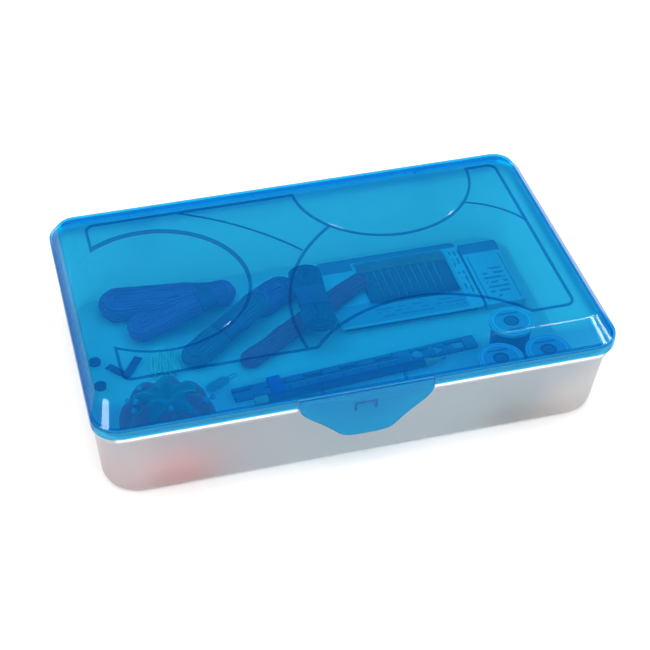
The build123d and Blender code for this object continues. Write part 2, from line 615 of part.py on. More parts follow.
with BuildPart() as threader_wire:
    with BuildSketch(threader_plane):
        with Locations((THREADER_L / 2 + WIRE_OUT, 0)):
            SlotOverall(WIRE_L, WIRE_W)
            SlotOverall(WIRE_L - WIRE_WALL, WIRE_W - WIRE_WALL, mode=Mode.SUBTRACT)
    extrude(amount=WIRE_T)
save(threader_wire.part, "threader_wire")

with BuildPart() as shirt_buttons:
    for x, y in BUTTON_PLACES:
        with BuildSketch(Plane.XY.offset(FLOOR_Z)):
            with Locations((x, y)):
                Circle(BUTTON_R)
                with GridLocations(BUTTON_HOLE_PITCH, BUTTON_HOLE_PITCH, 2, 2):
                    Circle(BUTTON_HOLE_R, mode=Mode.SUBTRACT)
        extrude(amount=BUTTON_T)
save(shirt_buttons.part, "shirt_buttons")

with BuildPart() as ribbon_end:
    with BuildSketch(Plane.XY.offset(FLOOR_Z)):
        for near, far in zip(RIBBON_POINTS, RIBBON_POINTS[1:]):
            run = Vector(*far) - Vector(*near)
            with Locations((Vector(*near) + Vector(*far)) / 2):
                SlotCenterToCenter(run.length, RIBBON_W, rotation=degrees(atan2(run.Y, run.X)))
    extrude(amount=RIBBON_T)
save(ribbon_end.part, "ribbon_end")
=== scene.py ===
"""Looks of the hinged supply case and its sewing notions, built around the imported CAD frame."""

import json
import math
import random

import bmesh
import bpy
import numpy as np
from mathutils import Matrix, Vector
from mathutils.bvhtree import BVHTree


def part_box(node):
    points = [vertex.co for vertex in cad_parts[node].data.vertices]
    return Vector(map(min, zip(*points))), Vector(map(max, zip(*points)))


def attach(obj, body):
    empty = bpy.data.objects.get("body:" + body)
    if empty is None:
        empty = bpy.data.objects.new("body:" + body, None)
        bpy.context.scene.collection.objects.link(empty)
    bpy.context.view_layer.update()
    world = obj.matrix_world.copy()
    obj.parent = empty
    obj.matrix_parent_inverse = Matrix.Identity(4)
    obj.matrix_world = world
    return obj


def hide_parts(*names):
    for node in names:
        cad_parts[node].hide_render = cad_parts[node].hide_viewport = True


MM = 0.001
TAU = 2 * math.pi
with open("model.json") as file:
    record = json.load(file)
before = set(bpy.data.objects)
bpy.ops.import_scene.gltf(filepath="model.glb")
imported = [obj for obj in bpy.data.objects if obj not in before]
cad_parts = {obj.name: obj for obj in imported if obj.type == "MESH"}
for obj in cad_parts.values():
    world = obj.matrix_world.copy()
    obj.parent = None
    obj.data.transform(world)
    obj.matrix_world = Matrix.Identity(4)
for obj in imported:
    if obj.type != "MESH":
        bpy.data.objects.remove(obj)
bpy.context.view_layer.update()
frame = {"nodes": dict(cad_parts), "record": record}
nodes = frame["nodes"]

# ---------------------------------------------------------------- camera and lights

CAMERA_AZIMUTH, CAMERA_ELEVATION, CAMERA_DISTANCE = -14.608, 40.234, 1.1887  # degrees, metres
CAMERA_TARGET = (0.0092, 0.0298, 0.0)
SENSOR_W, LENS = 36.0, 93.58


def make_camera():
    data = bpy.data.cameras.new("camera")
    data.sensor_width = SENSOR_W
    data.lens = LENS
    eye = bpy.data.objects.new("camera", data)
    bpy.context.scene.collection.objects.link(eye)
    azimuth, elevation = math.radians(CAMERA_AZIMUTH), math.radians(CAMERA_ELEVATION)
    back = Vector((
        math.sin(azimuth) * math.cos(elevation),
        -math.cos(azimuth) * math.cos(elevation),
        math.sin(elevation),
    ))
    eye.location = Vector(CAMERA_TARGET) + back * CAMERA_DISTANCE
    eye.rotation_euler = back.to_track_quat("Z", "Y").to_euler()
    bpy.context.scene.camera = eye


def lamp(name, place, aim, size, radiance, colour=(1, 1, 1), lights=True, mirrors=True):
    """A rectangular soft light that lights, is mirrored in gloss, or both; radiance is of its face."""
    data = bpy.data.lights.new(name, "AREA")
    data.shape = "RECTANGLE"
    data.size, data.size_y = size
    data.energy = radiance * math.pi * size[0] * size[1]
    data.color = colour
    lit = bpy.data.objects.new(name, data)
    bpy.context.scene.collection.objects.link(lit)
    lit.location = place
    lit.rotation_euler = (Vector(aim) - Vector(place)).to_track_quat("-Z", "Y").to_euler()
    lit.visible_diffuse = lights
    lit.visible_glossy = mirrors


def make_studio():
    """A dim white surround, four soft lights, and bright panes that only the gloss mirrors."""
    world = bpy.data.worlds.new("studio")
    world.use_nodes = True
    background = world.node_tree.nodes["Background"]
    background.inputs["Color"].default_value = (1, 1, 1, 1)
    background.inputs["Strength"].default_value = 0.15
    scene = bpy.context.scene
    scene.world = world
    lamp("overhead", (0, -0.1, 1.7), (0, -0.1, 0), (3.2, 2.8), 3.0, mirrors=False)
    lamp("front", (0.1, -1.9, 0.55), (0, 0, 0.04), (2.2, 0.8), 2.0, (1.0, 0.95, 0.92), mirrors=False)
    lamp("left", (-1.7, -0.2, 0.5), (0, 0, 0.04), (0.8, 1.4), 1.0, mirrors=False)
    lamp("right", (1.7, -0.6, 0.5), (0, 0, 0.04), (0.8, 1.0), 1.4, mirrors=False)
    lamp("left_streak", (-1.1, 1.03, 0.21), (-0.167, 0, 0.068), (0.9, 0.4), 1.9, lights=False)
    lamp("right_window", (0.622, 0.485, 1.188), (0.14, -0.087, 0.071), (0.14, 0.4), 42.0, lights=False)
    lamp("right_corner", (0.985, 0.255, 0.935), (0.16, -0.09, 0.07), (0.13, 0.13), 33.0, lights=False)
    lamp("left_window", (-0.57, 0.185, 1.22), (-0.158, -0.09, 0.07), (0.24, 0.3), 20.0, lights=False)
    lamp("groove_glint", (0.766, 0.127, 1.046), (-0.09, 0, 0.07), (0.12, 0.12), 33.0, lights=False)
    scene.view_settings.view_transform = "Standard"
    scene.cycles.max_bounces = 20
    scene.cycles.diffuse_bounces = 10
    scene.cycles.glossy_bounces = 8
    scene.cycles.transmission_bounces = 12
    scene.cycles.transparent_max_bounces = 32


# ---------------------------------------------------------------- shader helpers


class Shader:
    """A material's node tree, with short calls for the nodes that the materials use."""

    def __init__(self, name):
        self.material = bpy.data.materials.new(name)
        self.material.use_nodes = True
        self.tree = self.material.node_tree
        self.tree.nodes.clear()
        self.out = self.tree.nodes.new("ShaderNodeOutputMaterial")
        self.coordinates = self.tree.nodes.new("ShaderNodeTexCoord")
        self.place = self.coordinates.outputs["Object"]
        self.axes = self.split(self.place)

    def feed(self, socket, value):
        """Links a node's output to a socket, or sets a number, vector or colour on it."""
        if isinstance(value, bpy.types.NodeSocket):
            self.tree.links.new(value, socket)
        elif socket.type == "RGBA":
            socket.default_value = (*value[:3], 1.0)
        else:
            socket.default_value = value

    def node(self, kind, **inputs):
        made = self.tree.nodes.new("ShaderNode" + kind)
        for key, value in inputs.items():
            self.feed(made.inputs[key.replace("_", " ")], value)
        return made

    def split(self, vector):
        made = self.tree.nodes.new("ShaderNodeSeparateXYZ")
        self.feed(made.inputs[0], vector)
        return made.outputs

    def math(self, operation, a, b=0.0):
        made = self.tree.nodes.new("ShaderNodeMath")
        made.operation = operation
        self.feed(made.inputs[0], a)
        self.feed(made.inputs[1], b)
        return made.outputs[0]

    def times(self, *values):
        product = values[0]
        for value in values[1:]:
            product = self.math("MULTIPLY", product, value)
        return product

    def either(self, *masks):
        found = masks[0]
        for mask in masks[1:]:
            found = self.math("MAXIMUM", found, mask)
        return found

    def between(self, value, low, high):
        """1 where value lies between low and high, else 0."""
        return self.times(self.math("GREATER_THAN", value, low), self.math("LESS_THAN", value, high))

    def box(self, x0, x1, y0, y1):
        """1 inside a rectangle in plan, given in mm."""
        x, y, _ = self.axes
        return self.times(self.between(x, x0 * MM, x1 * MM), self.between(y, y0 * MM, y1 * MM))

    def every(self, value, pitch, share):
        """Stripes: 1 over that share of every pitch, in mm."""
        made = self.math("FRACT", self.math("DIVIDE", value, pitch * MM))
        return self.math("LESS_THAN", made, share)

    def turned(self, origin, degrees):
        """Axes whose origin is at a point in mm, turned about Z."""
        turn = math.radians(-degrees)
        x, y = origin[0] * MM, origin[1] * MM
        made = self.node("Mapping", Vector=self.place)
        made.inputs["Rotation"].default_value = (0, 0, turn)
        made.inputs["Location"].default_value = (
            -(x * math.cos(turn) - y * math.sin(turn)),
            -(x * math.sin(turn) + y * math.cos(turn)),
            0,
        )
        return self.split(made.outputs[0])

    def noise(self, scale, detail=3.0, rough=0.5, vector=None):
        made = self.node("TexNoise", Scale=scale, Detail=detail, Roughness=rough)
        self.feed(made.inputs["Vector"], vector or self.place)
        return made.outputs["Fac"]

    def stretched(self, scale):
        """Object coordinates scaled by axis, for drawn-out noise."""
        made = self.node("Mapping", Vector=self.place)
        made.inputs["Scale"].default_value = scale
        return made.outputs[0]

    def level(self, value, low, high, to_low=0.0, to_high=1.0):
        made = self.tree.nodes.new("ShaderNodeMapRange")
        for socket, number in zip(made.inputs, (value, low, high, to_low, to_high)):
            self.feed(socket, number)
        return made.outputs[0]

    def mix(self, share, a, b):
        made = self.tree.nodes.new("ShaderNodeMix")
        made.data_type = "RGBA"
        self.feed(made.inputs[0], share)
        self.feed(made.inputs[6], a)
        self.feed(made.inputs[7], b)
        return made.outputs[2]

    def blend(self, share, a, b):
        """Mixes two shaders."""
        made = self.tree.nodes.new("ShaderNodeMixShader")
        self.feed(made.inputs[0], share)
        self.tree.links.new(a, made.inputs[1])
        self.tree.links.new(b, made.inputs[2])
        return made.outputs[0]

    def bump(self, height, strength, distance, over=None):
        made = self.node("Bump", Strength=strength, Distance=distance)
        self.feed(made.inputs["Height"], height)
        if over:
            self.feed(made.inputs["Normal"], over)
        return made.outputs[0]

    def away(self, x, y):
        """Distance in plan from a point in mm."""
        dx = self.math("SUBTRACT", self.axes[0], x * MM)
        dy = self.math("SUBTRACT", self.axes[1], y * MM)
        return self.math("SQRT", self.math("ADD", self.times(dx, dx), self.times(dy, dy)))

    def chamfer(self, x, y, radius):
        """Height of a disc whose edge falls away over its last millimetre."""
        return self.level(self.away(x, y), (radius - 1.0) * MM, radius * MM, 1.0, 0.0)

    def principled(self, colour, rough, normal=None, **constants):
        made = self.node("BsdfPrincipled")
        self.feed(made.inputs["Base Color"], colour)
        self.feed(made.inputs["Roughness"], rough)
        if normal:
            self.feed(made.inputs["Normal"], normal)
        for key, value in constants.items():
            self.feed(made.inputs[key.replace("_", " ")], value)
        return self.finish(made.outputs[0])

    def gloss(self, rough, head_on, edge_on, normal=None):
        """A glossy shader, and its share by angle: the same on both faces of a thin wall."""
        shine = self.node("BsdfGlossy", Roughness=rough)
        grazing = self.node("LayerWeight", Blend=0.5)
        if normal:
            self.feed(shine.inputs["Normal"], normal)
            self.feed(grazing.inputs["Normal"], normal)
        steep = self.math("POWER", grazing.outputs["Facing"], 5.0)
        return shine.outputs[0], self.level(steep, 0.0, 1.0, head_on, edge_on)

    def finish(self, shader):
        self.tree.links.new(shader, self.out.inputs["Surface"])
        return self.material


# ---------------------------------------------------------------- hard materials

# planes and edges of the lid and the tub, in mm
PATTERN_BOX, PATTERN_LOW, PATTERN_HIGH = (-152, 156, -80, 96), 71.3, 71.95
TOP_Z, TOP_EDGE_Z, SIDE_Z, SIDE_FOOT_Z = 71.9, 70.9, 69.4, 64.3
FOLD_LOW, FOLD_HIGH = 63.5, 64.2
RIM_X, RIM_Y = 168.4, 107.8
LATCH_BACK_Y = -109.45
DISC_EDGES = ((-110.5, 10.8, 61.1), (65.0, 92.0, 63.0))  # centre x, centre y, radius
EDGE_BEVEL = 0.58
# the tub's ledge and catch bar, which carry a painted highlight and a painted shadow
LEDGE_X, LEDGE_Y, LEDGE_LOW, LEDGE_HIGH = 167.5, 107.3, 54.6, 57.5
CATCH_Y, CATCH_HALF_W, CATCH_LOW, CATCH_HIGH = -107.5, 9.0, 45.0, 53.5
THICK_BLUE = (0.05, 0.42, 0.70)  # the lid seen along its wall or through its rim


def lid_plastic():
    """Clear blue polypropylene. Each face of the wall tints what is behind it."""
    s = Shader("lid_plastic")
    x, y, z = s.axes
    in_pattern = s.times(s.box(*PATTERN_BOX), s.between(z, PATTERN_LOW * MM, PATTERN_HIGH * MM))
    cloud = s.noise(14, 2)
    clear_tint = s.mix(cloud, (0.17, 0.85, 0.97), (0.21, 0.88, 0.98))
    behind_latch = s.math("GREATER_THAN", y, LATCH_BACK_Y * MM)
    below_top = s.level(z, TOP_EDGE_Z * MM, SIDE_Z * MM)
    sides = s.times(below_top, s.math("GREATER_THAN", z, SIDE_FOOT_Z * MM))
    latch_or_lid = s.mix(behind_latch, (0.02, 0.79, 0.98), clear_tint)
    # partly the longer path through the slanting wall, partly painted shade: the sloped sides get a
    # deeper tint for the dim space under them inside
    slope_shaded = s.mix(sides, latch_or_lid, (0.18, 0.69, 0.90))
    # painted shade: the pattern grooves on the top and the fold line round the skirt get a darker tint,
    # for the shade at their edges
    shaded_lines = s.either(in_pattern, s.between(z, FOLD_LOW * MM, FOLD_HIGH * MM))
    rim = s.either(
        s.math("GREATER_THAN", s.math("ABSOLUTE", x), RIM_X * MM), s.math("GREATER_THAN", y, RIM_Y * MM))
    with_dark_lines = s.mix(shaded_lines, slope_shaded, (0.06, 0.36, 0.64))
    tint = s.mix(rim, with_dark_lines, THICK_BLUE)
    grazing = s.node("LayerWeight", Blend=0.5).outputs["Facing"]
    deep = s.mix(s.level(grazing, 0.45, 0.95), tint, THICK_BLUE)
    # the lamps' light comes in with less of the tint, so that the contents keep some of their own colour
    lighting = s.node("LightPath").outputs["Is Shadow Ray"]
    clear = s.node("BsdfTransparent", Color=s.mix(lighting, deep, (0.72, 0.92, 0.985))).outputs[0]
    haze = s.node("BsdfDiffuse", Color=(0.0, 0.20, 0.62)).outputs[0]
    body = s.blend(s.level(cloud, 0.3, 0.7, 0.15, 0.18), clear, haze)
    scuffs = s.noise(1.0, 4, 0.7, s.stretched((900, 60, 200)))
    chamfers = s.either(*(s.chamfer(*edge) for edge in DISC_EDGES))
    on_top = s.math("GREATER_THAN", z, TOP_Z * MM)
    bevelled = s.bump(s.times(chamfers, on_top), 1.0, EDGE_BEVEL * MM)
    ripple = s.bump(s.noise(45, 2), 0.08, 0.001, bevelled)
    rough = s.level(scuffs, 0.35, 0.75, 0.04, 0.12)
    shine, share = s.gloss(rough, 0.02, 0.6, ripple)
    return s.finish(s.blend(share, body, shine))


def tub_plastic():
    """Frosted polypropylene: it passes light, but blurs all that is behind it."""
    s = Shader("tub_plastic")
    x, y, z = s.axes
    grain = s.noise(1500, 3, 0.6)
    skin = s.bump(grain, 0.2, 0.0001)
    white = s.mix(s.noise(9, 2), (0.64, 0.60, 0.585), (0.70, 0.66, 0.645))
    # painted highlight: the ledge below the lid's edge is coloured nearly white and lets little light
    # through, for the light it catches
    outside = s.either(s.math("GREATER_THAN", s.math("ABSOLUTE", x), LEDGE_X * MM),
                       s.math("GREATER_THAN", s.math("ABSOLUTE", y), LEDGE_Y * MM))
    ledge_highlight = s.times(outside, s.between(z, LEDGE_LOW * MM, LEDGE_HIGH * MM))
    # painted shadow: the catch bar behind the latch tab is coloured dark grey and lets little light
    # through, for the shade it lies in
    catch_shadow = s.times(
        s.math("LESS_THAN", y, CATCH_Y * MM),
        s.between(x, -CATCH_HALF_W * MM, CATCH_HALF_W * MM),
        s.between(z, CATCH_LOW * MM, CATCH_HIGH * MM),
    )
    bright = s.mix(ledge_highlight, white, (0.96, 0.93, 0.95))
    face = s.node("BsdfDiffuse", Color=s.mix(catch_shadow, bright, (0.16, 0.18, 0.24)), Normal=skin).outputs[0]
    through = s.node("BsdfTranslucent", Color=(0.95, 0.905, 0.89), Normal=skin).outputs[0]
    body = s.blend(s.level(s.either(ledge_highlight, catch_shadow), 0, 1, 0.86, 0.1), face, through)
    shine, share = s.gloss(0.3, 0.03, 0.5, skin)
    return s.finish(s.blend(share, body, shine))


def moulded(name, colour, rough=0.35):
    """Opaque moulded plastic with a faint cloudy tone."""
    s = Shader(name)
    dark = tuple(c * 0.88 for c in colour)
    tone = s.mix(s.noise(70, 3), dark, colour)
    return s.principled(tone, s.level(s.noise(300, 2), 0.3, 0.7, rough - 0.06, rough + 0.08),
                        s.bump(s.noise(900, 2), 0.12, 0.0001))


def metal(name, colour, rough):
    s = Shader(name)
    brushed = s.noise(1.0, 3, 0.6, s.stretched((300, 4000, 4000)))
    tone = s.mix(brushed, tuple(c * 0.8 for c in colour), colour)
    return s.principled(tone, s.level(brushed, 0.3, 0.7, rough, rough + 0.15),
                        s.bump(brushed, 0.08, 0.00005), Metallic=1.0)


def gauge_plastic():
    """Slate-blue seam gauge with black graduations along both edges."""
    s = Shader("gauge_plastic")
    along, across, _ = s.turned((-69.5, -29.0), 4.26)
    fine = s.times(s.every(along, 3.175, 0.16), s.either(
        s.between(across, 4.4 * MM, 6.3 * MM), s.between(across, -6.3 * MM, -4.4 * MM)))
    coarse = s.times(s.every(along, 12.7, 0.07), s.either(
        s.between(across, 2.6 * MM, 6.3 * MM), s.between(across, -6.3 * MM, -2.6 * MM)))
    blocks = s.times(s.every(along, 25.4, 0.5), s.between(across, 1.6 * MM, 3.6 * MM))
    ink = s.either(fine, coarse, blocks)
    ground = s.mix(s.noise(90, 3), (0.10, 0.12, 0.20), (0.13, 0.15, 0.25))
    with_dark_lines = s.mix(ink, ground, (0.008, 0.008, 0.012))
    return s.principled(with_dark_lines, 0.32, s.bump(s.noise(700, 2), 0.1, 0.0001))


def pencil_paint():
    """Lacquered hexagonal barrel whose sharpened end shows the wood."""
    s = Shader("pencil_paint")
    along, _, _ = s.turned((-57.0, -40.0), math.degrees(math.atan2(10.4, 137.0)))
    edge = s.math("ADD", along, s.level(s.noise(260, 2), 0.0, 1.0, -0.0012, 0.0012))
    wood_part = s.math("GREATER_THAN", edge, 121.2 * MM)
    foil = s.between(along, -1 * MM, 9 * MM)
    grain = s.noise(1.0, 4, 0.6, s.stretched((120, 2600, 2600)))
    wood = s.mix(grain, (0.50, 0.30, 0.15), (0.66, 0.44, 0.25))
    lacquer = s.mix(s.noise(120, 2), (0.015, 0.035, 0.10), (0.02, 0.05, 0.14))
    painted = s.mix(foil, lacquer, (0.45, 0.40, 0.26))
    return s.principled(s.mix(wood_part, painted, wood), s.level(wood_part, 0, 1, 0.18, 0.7),
                        s.bump(grain, 0.15, 0.0001))


def white_card():
    """Coated card. The print is generic: plain bars, rules and blocks of colour."""
    s = Shader("white_card")
    x, y, _ = s.axes
    header = s.either(s.box(17, 123, 84.5, 91), s.box(17, 42, 76, 84.5))
    small_lines = s.times(
        s.box(46, 110, 17.5, 32), s.every(y, 4.0, 0.36), s.math("GREATER_THAN", s.noise(230, 0), 0.47))
    side_lines = s.times(
        s.box(113.5, 121, 30, 80), s.every(x, 3.6, 0.4), s.math("GREATER_THAN", s.noise(210, 0), 0.46))
    packet_head = s.box(124, 153, 73, 85)
    packet_line = s.either(s.box(126.5, 127.3, 17, 70), s.box(150.0, 150.8, 17, 70))
    packet_lines = s.times(
        s.box(131, 147, 20, 56), s.every(y, 5.2, 0.42), s.math("GREATER_THAN", s.noise(180, 0), 0.45))
    ink = s.either(header, small_lines, side_lines, packet_head, packet_line, packet_lines)
    paper = s.mix(s.noise(400, 4), (0.36, 0.40, 0.44), (0.42, 0.46, 0.50))
    # the paper is darker over a block in the card's lower part
    darker_low_block = s.mix(s.box(18, 112, 16, 38), paper, (0.25, 0.29, 0.35))
    printed = s.mix(ink, darker_low_block, (0.12, 0.15, 0.24))
    return s.principled(printed, 0.45, s.bump(s.noise(1200, 3), 0.12, 0.0001))


def plain_card(name, colour):
    s = Shader(name)
    tone = s.mix(s.noise(500, 4), tuple(c * 0.85 for c in colour), colour)
    return s.principled(tone, 0.6, s.bump(s.noise(1500, 3), 0.2, 0.0001))


def clear_film():
    s = Shader("clear_film")
    clear = s.node("BsdfTransparent", Color=(0.96, 0.97, 0.97)).outputs[0]
    shine, share = s.gloss(s.level(s.noise(200, 2), 0.3, 0.7, 0.04, 0.12), 0.05, 0.8,
                           s.bump(s.noise(60, 2), 0.2, 0.001))
    return s.finish(s.blend(share, clear, shine))


def label_paper():
    """Round paper label printed with plain rings."""
    s = Shader("label_paper")
    rings, bright = [], []
    for x, y in SPOOL_PLACES.values():
        dx = s.math("SUBTRACT", s.axes[0], x * MM)
        dy = s.math("SUBTRACT", s.axes[1], y * MM)
        away = s.away(x, y)
        bright.append(s.between(away, 11.8 * MM, 13.0 * MM))
        rings.append(s.between(away, 3.0 * MM, 5.4 * MM))
        rings.append(s.times(s.between(dx, -7 * MM, 7 * MM), s.between(dy, 7.0 * MM, 8.2 * MM)))
        rings.append(s.times(s.between(dx, -5 * MM, 5 * MM), s.between(dy, -9.2 * MM, -8.0 * MM)))
    paper = s.mix(s.noise(500, 4), (0.26, 0.30, 0.36), (0.32, 0.36, 0.42))
    printed = s.mix(s.either(*rings), paper, (0.04, 0.05, 0.12))
    return s.principled(s.mix(s.either(*bright), printed, (0.55, 0.58, 0.62)), 0.5,
                        s.bump(s.noise(1500, 3), 0.15, 0.0001))


# ---------------------------------------------------------------- soft materials

THREAD_PLIES, THREAD_PITCH, WEAVE_PITCH = 2.0, 1.6, 0.45  # pitches in mm


def thread(name, colour, sheen=0.4):
    """Twisted thread. The UV map holds metres along the thread, and turns around it."""
    s = Shader(name)
    along, around, _ = s.split(s.coordinates.outputs["UV"])
    lengthwise = s.math("MULTIPLY", along, TAU / (THREAD_PITCH * MM))
    phase = s.math("ADD", lengthwise, s.times(around, TAU * THREAD_PLIES))
    ply = s.math("SINE", phase)
    fibre = s.noise(2500, 3, 0.6)
    height = s.math("ADD", ply, s.math("MULTIPLY", fibre, 1.2))
    shade = s.level(ply, -1, 1, 0.0, 1.0)
    dark = tuple(c * 0.7 for c in colour)
    tone = s.mix(shade, dark, colour)
    lighter = s.mix(0.5, tone, tuple(min(1, c * 1.3) for c in colour))
    varied = s.mix(s.level(s.noise(60, 2), 0.35, 0.65), tone, lighter)
    skin = s.bump(height, 0.5, 0.00012)
    return s.principled(varied, 0.55, skin, Sheen_Weight=sheen, Sheen_Roughness=0.4)


def woven(name, colour):
    """Plain cotton weave, from object coordinates so that it needs no map."""
    s = Shader(name)
    x, y, z = s.axes
    warp = s.math("SINE", s.math("MULTIPLY", s.math("ADD", x, z), TAU / (WEAVE_PITCH * MM)))
    weft = s.math("SINE", s.math("MULTIPLY", s.math("SUBTRACT", y, z), TAU / (WEAVE_PITCH * MM)))
    weave = s.times(warp, weft)
    tone = s.mix(s.level(weave, -1, 1), tuple(c * 0.7 for c in colour), colour)
    patchy = s.mix(s.level(s.noise(70, 3), 0.35, 0.7), tone, tuple(c * 0.75 for c in colour))
    fuzz = s.math("ADD", weave, s.noise(3000, 2))
    return s.principled(patchy, 0.8, s.bump(fuzz, 0.35, 0.00015), Sheen_Weight=0.35, Sheen_Roughness=0.5)


def felt(name, colour):
    """Pressed wool fibres."""
    s = Shader(name)
    fibres = s.noise(900, 6, 0.75)
    swirl = s.noise(220, 3, 0.6)
    dark, pale = tuple(c * 0.6 for c in colour), tuple(min(1, c * 1.25) for c in colour)
    tone = s.mix(s.level(fibres, 0.3, 0.7), dark, pale)
    height = s.math("ADD", fibres, s.times(swirl, 0.6))
    return s.principled(tone, 0.92, s.bump(height, 0.7, 0.0004), Sheen_Weight=0.6, Sheen_Roughness=0.6)


# ---------------------------------------------------------------- mesh building


class Mesh:
    """Vertices and faces of one piece, in mm, and a UV pair per face corner."""

    def __init__(self):
        self.points, self.faces, self.uvs = [], [], []

    def grid(self, rows, closed_u=False, closed_v=False, uv=None):
        """A sheet through rows of points. Rows join up when closed_u, row ends when closed_v."""
        start, n, m = len(self.points), len(rows), len(rows[0])
        for row in rows:
            self.points.extend(row)
        for i in range(n if closed_u else n - 1):
            for j in range(m if closed_v else m - 1):
                this, below = start + i * m, start + (i + 1) % n * m
                after = (j + 1) % m
                self.faces.append((this + j, below + j, below + after, this + after))
                if uv:
                    self.uvs.append((uv(i, j), uv(i + 1, j), uv(i + 1, j + 1), uv(i, j + 1)))
        return start

    def fan(self, centre, ring):
        """Closes a ring of existing vertices with triangles to a new centre point."""
        self.points.append(centre)
        tip = len(self.points) - 1
        for a, b in zip(ring, ring[1:] + ring[:1]):
            self.faces.append((a, b, tip))
            if self.uvs:
                self.uvs.append(((0, 0),) * 3)

    def tube(self, path, radius, sides=6, closed=False, up=(0, 0, 1)):
        """A round tube along a path; radius is a number or one number for each point."""
        path = np.asarray(path, float)
        n = len(path)
        if closed:
            ahead, behind = np.roll(path, -1, 0), np.roll(path, 1, 0)
        else:
            ahead = np.vstack([path[1:], path[-1:]])
            behind = np.vstack([path[:1], path[:-1]])
        tangent = ahead - behind
        tangent /= np.linalg.norm(tangent, axis=1)[:, None]
        side = np.cross(tangent, np.asarray(up, float))
        side /= np.linalg.norm(side, axis=1)[:, None] + 1e-9
        over = np.cross(side, tangent)
        steps = np.linalg.norm(np.diff(path, axis=0), axis=1)
        length = np.concatenate([[0], np.cumsum(steps), [steps.sum() + 1]]) * MM
        radii = np.broadcast_to(np.asarray(radius, float), (n,))
        turns = np.arange(sides) * TAU / sides
        rows = [
            [tuple(path[i] + radii[i] * (math.cos(a) * side[i] + math.sin(a) * over[i])) for a in turns]
            for i in range(n)
        ]
        start = self.grid(rows, closed, True, lambda i, j: (length[i], j / sides))
        if not closed:
            self.fan(tuple(path[0]), [start + j for j in range(sides)][::-1])
            self.fan(tuple(path[-1]), [start + (n - 1) * sides + j for j in range(sides)])

    def done(self, name, material, stands_for=(), slot=None):
        """Makes the object, which rides on the case, and hides the nodes it stands for."""
        data = bpy.data.meshes.new(name)
        data.from_pydata([tuple(c * MM for c in p) for p in self.points], [], self.faces)
        if self.uvs:
            layer = data.uv_layers.new(name="thread")
            flat = [c for face in self.uvs for pair in face for c in pair]
            layer.data.foreach_set("uv", flat)
        data.materials.append(material)
        for polygon in data.polygons:
            polygon.use_smooth = True
        data.update()
        obj = bpy.data.objects.new(name, data)
        bpy.context.scene.collection.objects.link(obj)
        tidy_normals(obj)
        declare(obj, stands_for)
        return obj


def tidy_normals(obj):
    made = bmesh.new()
    made.from_mesh(obj.data)
    bmesh.ops.recalc_face_normals(made, faces=made.faces)
    made.to_mesh(obj.data)
    made.free()


def declare(obj, stands_for):
    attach(obj, "case")
    if stands_for:
        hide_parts(*stands_for)


# ---------------------------------------------------------------- floss skeins


def middle(node):
    """The middle of a CAD node's box in plan, in mm."""
    node_low, node_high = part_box(node)
    return tuple((node_low[k] + node_high[k]) / 2 / MM for k in (0, 1))


SPOOL_PLACES = {place: middle(f"spool_{place}") for place in ("front", "side", "back")}
# start, end, radius at start, radius at end, thickness
SKEINS = {
    "purple": ((-128.5, 78.6, 2.0), (-56.0, 73.0, 2.0), 15.2, 11.5, 12.0),
    "plum": ((-114.5, 49.0, 4.6), (-60.0, 56.2, 18.2), 12.3, 9.5, 10.0),
    "violet": ((-33.0, 56.0, 2.0), (-13.0, 68.0, 2.0), 13.0, 13.0, 9.0),
    "grey": ((-85.0, 13.0, 3.4), (-36.0, 44.0, 14.2), 11.0, 10.0, 9.0),
    "red": ((-51.0, 0.5, 2.2), (41.0, 56.0, 8.6), 7.5, 7.5, 8.0),
    "navy": ((1.0, 12.0, 16.8), (3.0, 63.0, 16.8), 11.5, 11.5, 7.0),
    "ecru": ((-109.2, 8.0, 2.0), (-109.2, 20.0, 2.0), 12.0, 12.0, 8.0),
}
# place along the skein from 0 to 1, and width
BANDS = {"purple": (0.86, 14.0), "plum": (0.84, 12.0), "grey": (0.5, 12.0), "navy": (0.5, 20.0)}
FLOSS = {
    "purple": (0.58, 0.06, 0.26),
    "plum": (0.60, 0.05, 0.24),
    "violet": (0.42, 0.04, 0.22),
    "grey": (0.16, 0.10, 0.16),
    "red": (1.0, 0.02, 0.09),
    "navy": (0.015, 0.03, 0.10),
    "ecru": (0.74, 0.70, 0.58),
}
STRAND_R, STRAND_PITCH, BAND_PINCH = 0.62, 1.32, 0.10


def skein_axes(start, end):
    start, end = np.array(start), np.array(end)
    along = (end - start) / np.linalg.norm(end - start)
    across = np.cross((0, 0, 1), along)
    across /= np.linalg.norm(across)
    return start, along, across, np.cross(along, across), np.linalg.norm(end - start)


def waist(x, length, colour):
    """How far a paper band draws the skein in at x."""
    if colour not in BANDS:
        return 0.0
    at, width = BANDS[colour]
    return BAND_PINCH * math.exp(-(((x - at * length) / (width * 0.62)) ** 4))


def stadium(r1, r2, length, step):
    """Points round a loop that runs about two circles length apart, starting at the middle of a side."""
    lean = math.asin(max(-1.0, min(1.0, (r1 - r2) / length)))
    up = math.pi / 2 - lean
    points = []
    for r, x, a0, a1 in ((r2, length, up, -up), (r1, 0.0, -up, -(TAU - up))):
        n = max(4, int(abs(a1 - a0) * max(r, 0.6) / step))
        for i in range(n + 1):
            a = a0 + (a1 - a0) * i / n
            points.append((x + r * math.cos(a), r * math.sin(a)))
        straight = max(2, int(length / (2.2 * step)))
        x0, y0 = points[-1]
        other_r, other_x = (r1, 0.0) if r == r2 and x == length else (r2, length)
        a = -up if x == length else up
        x1, y1 = other_x + other_r * math.cos(a), other_r * math.sin(a)
        for i in range(1, straight):
            t = i / straight
            points.append((x0 + (x1 - x0) * t, y0 + (y1 - y0) * t))
    return points


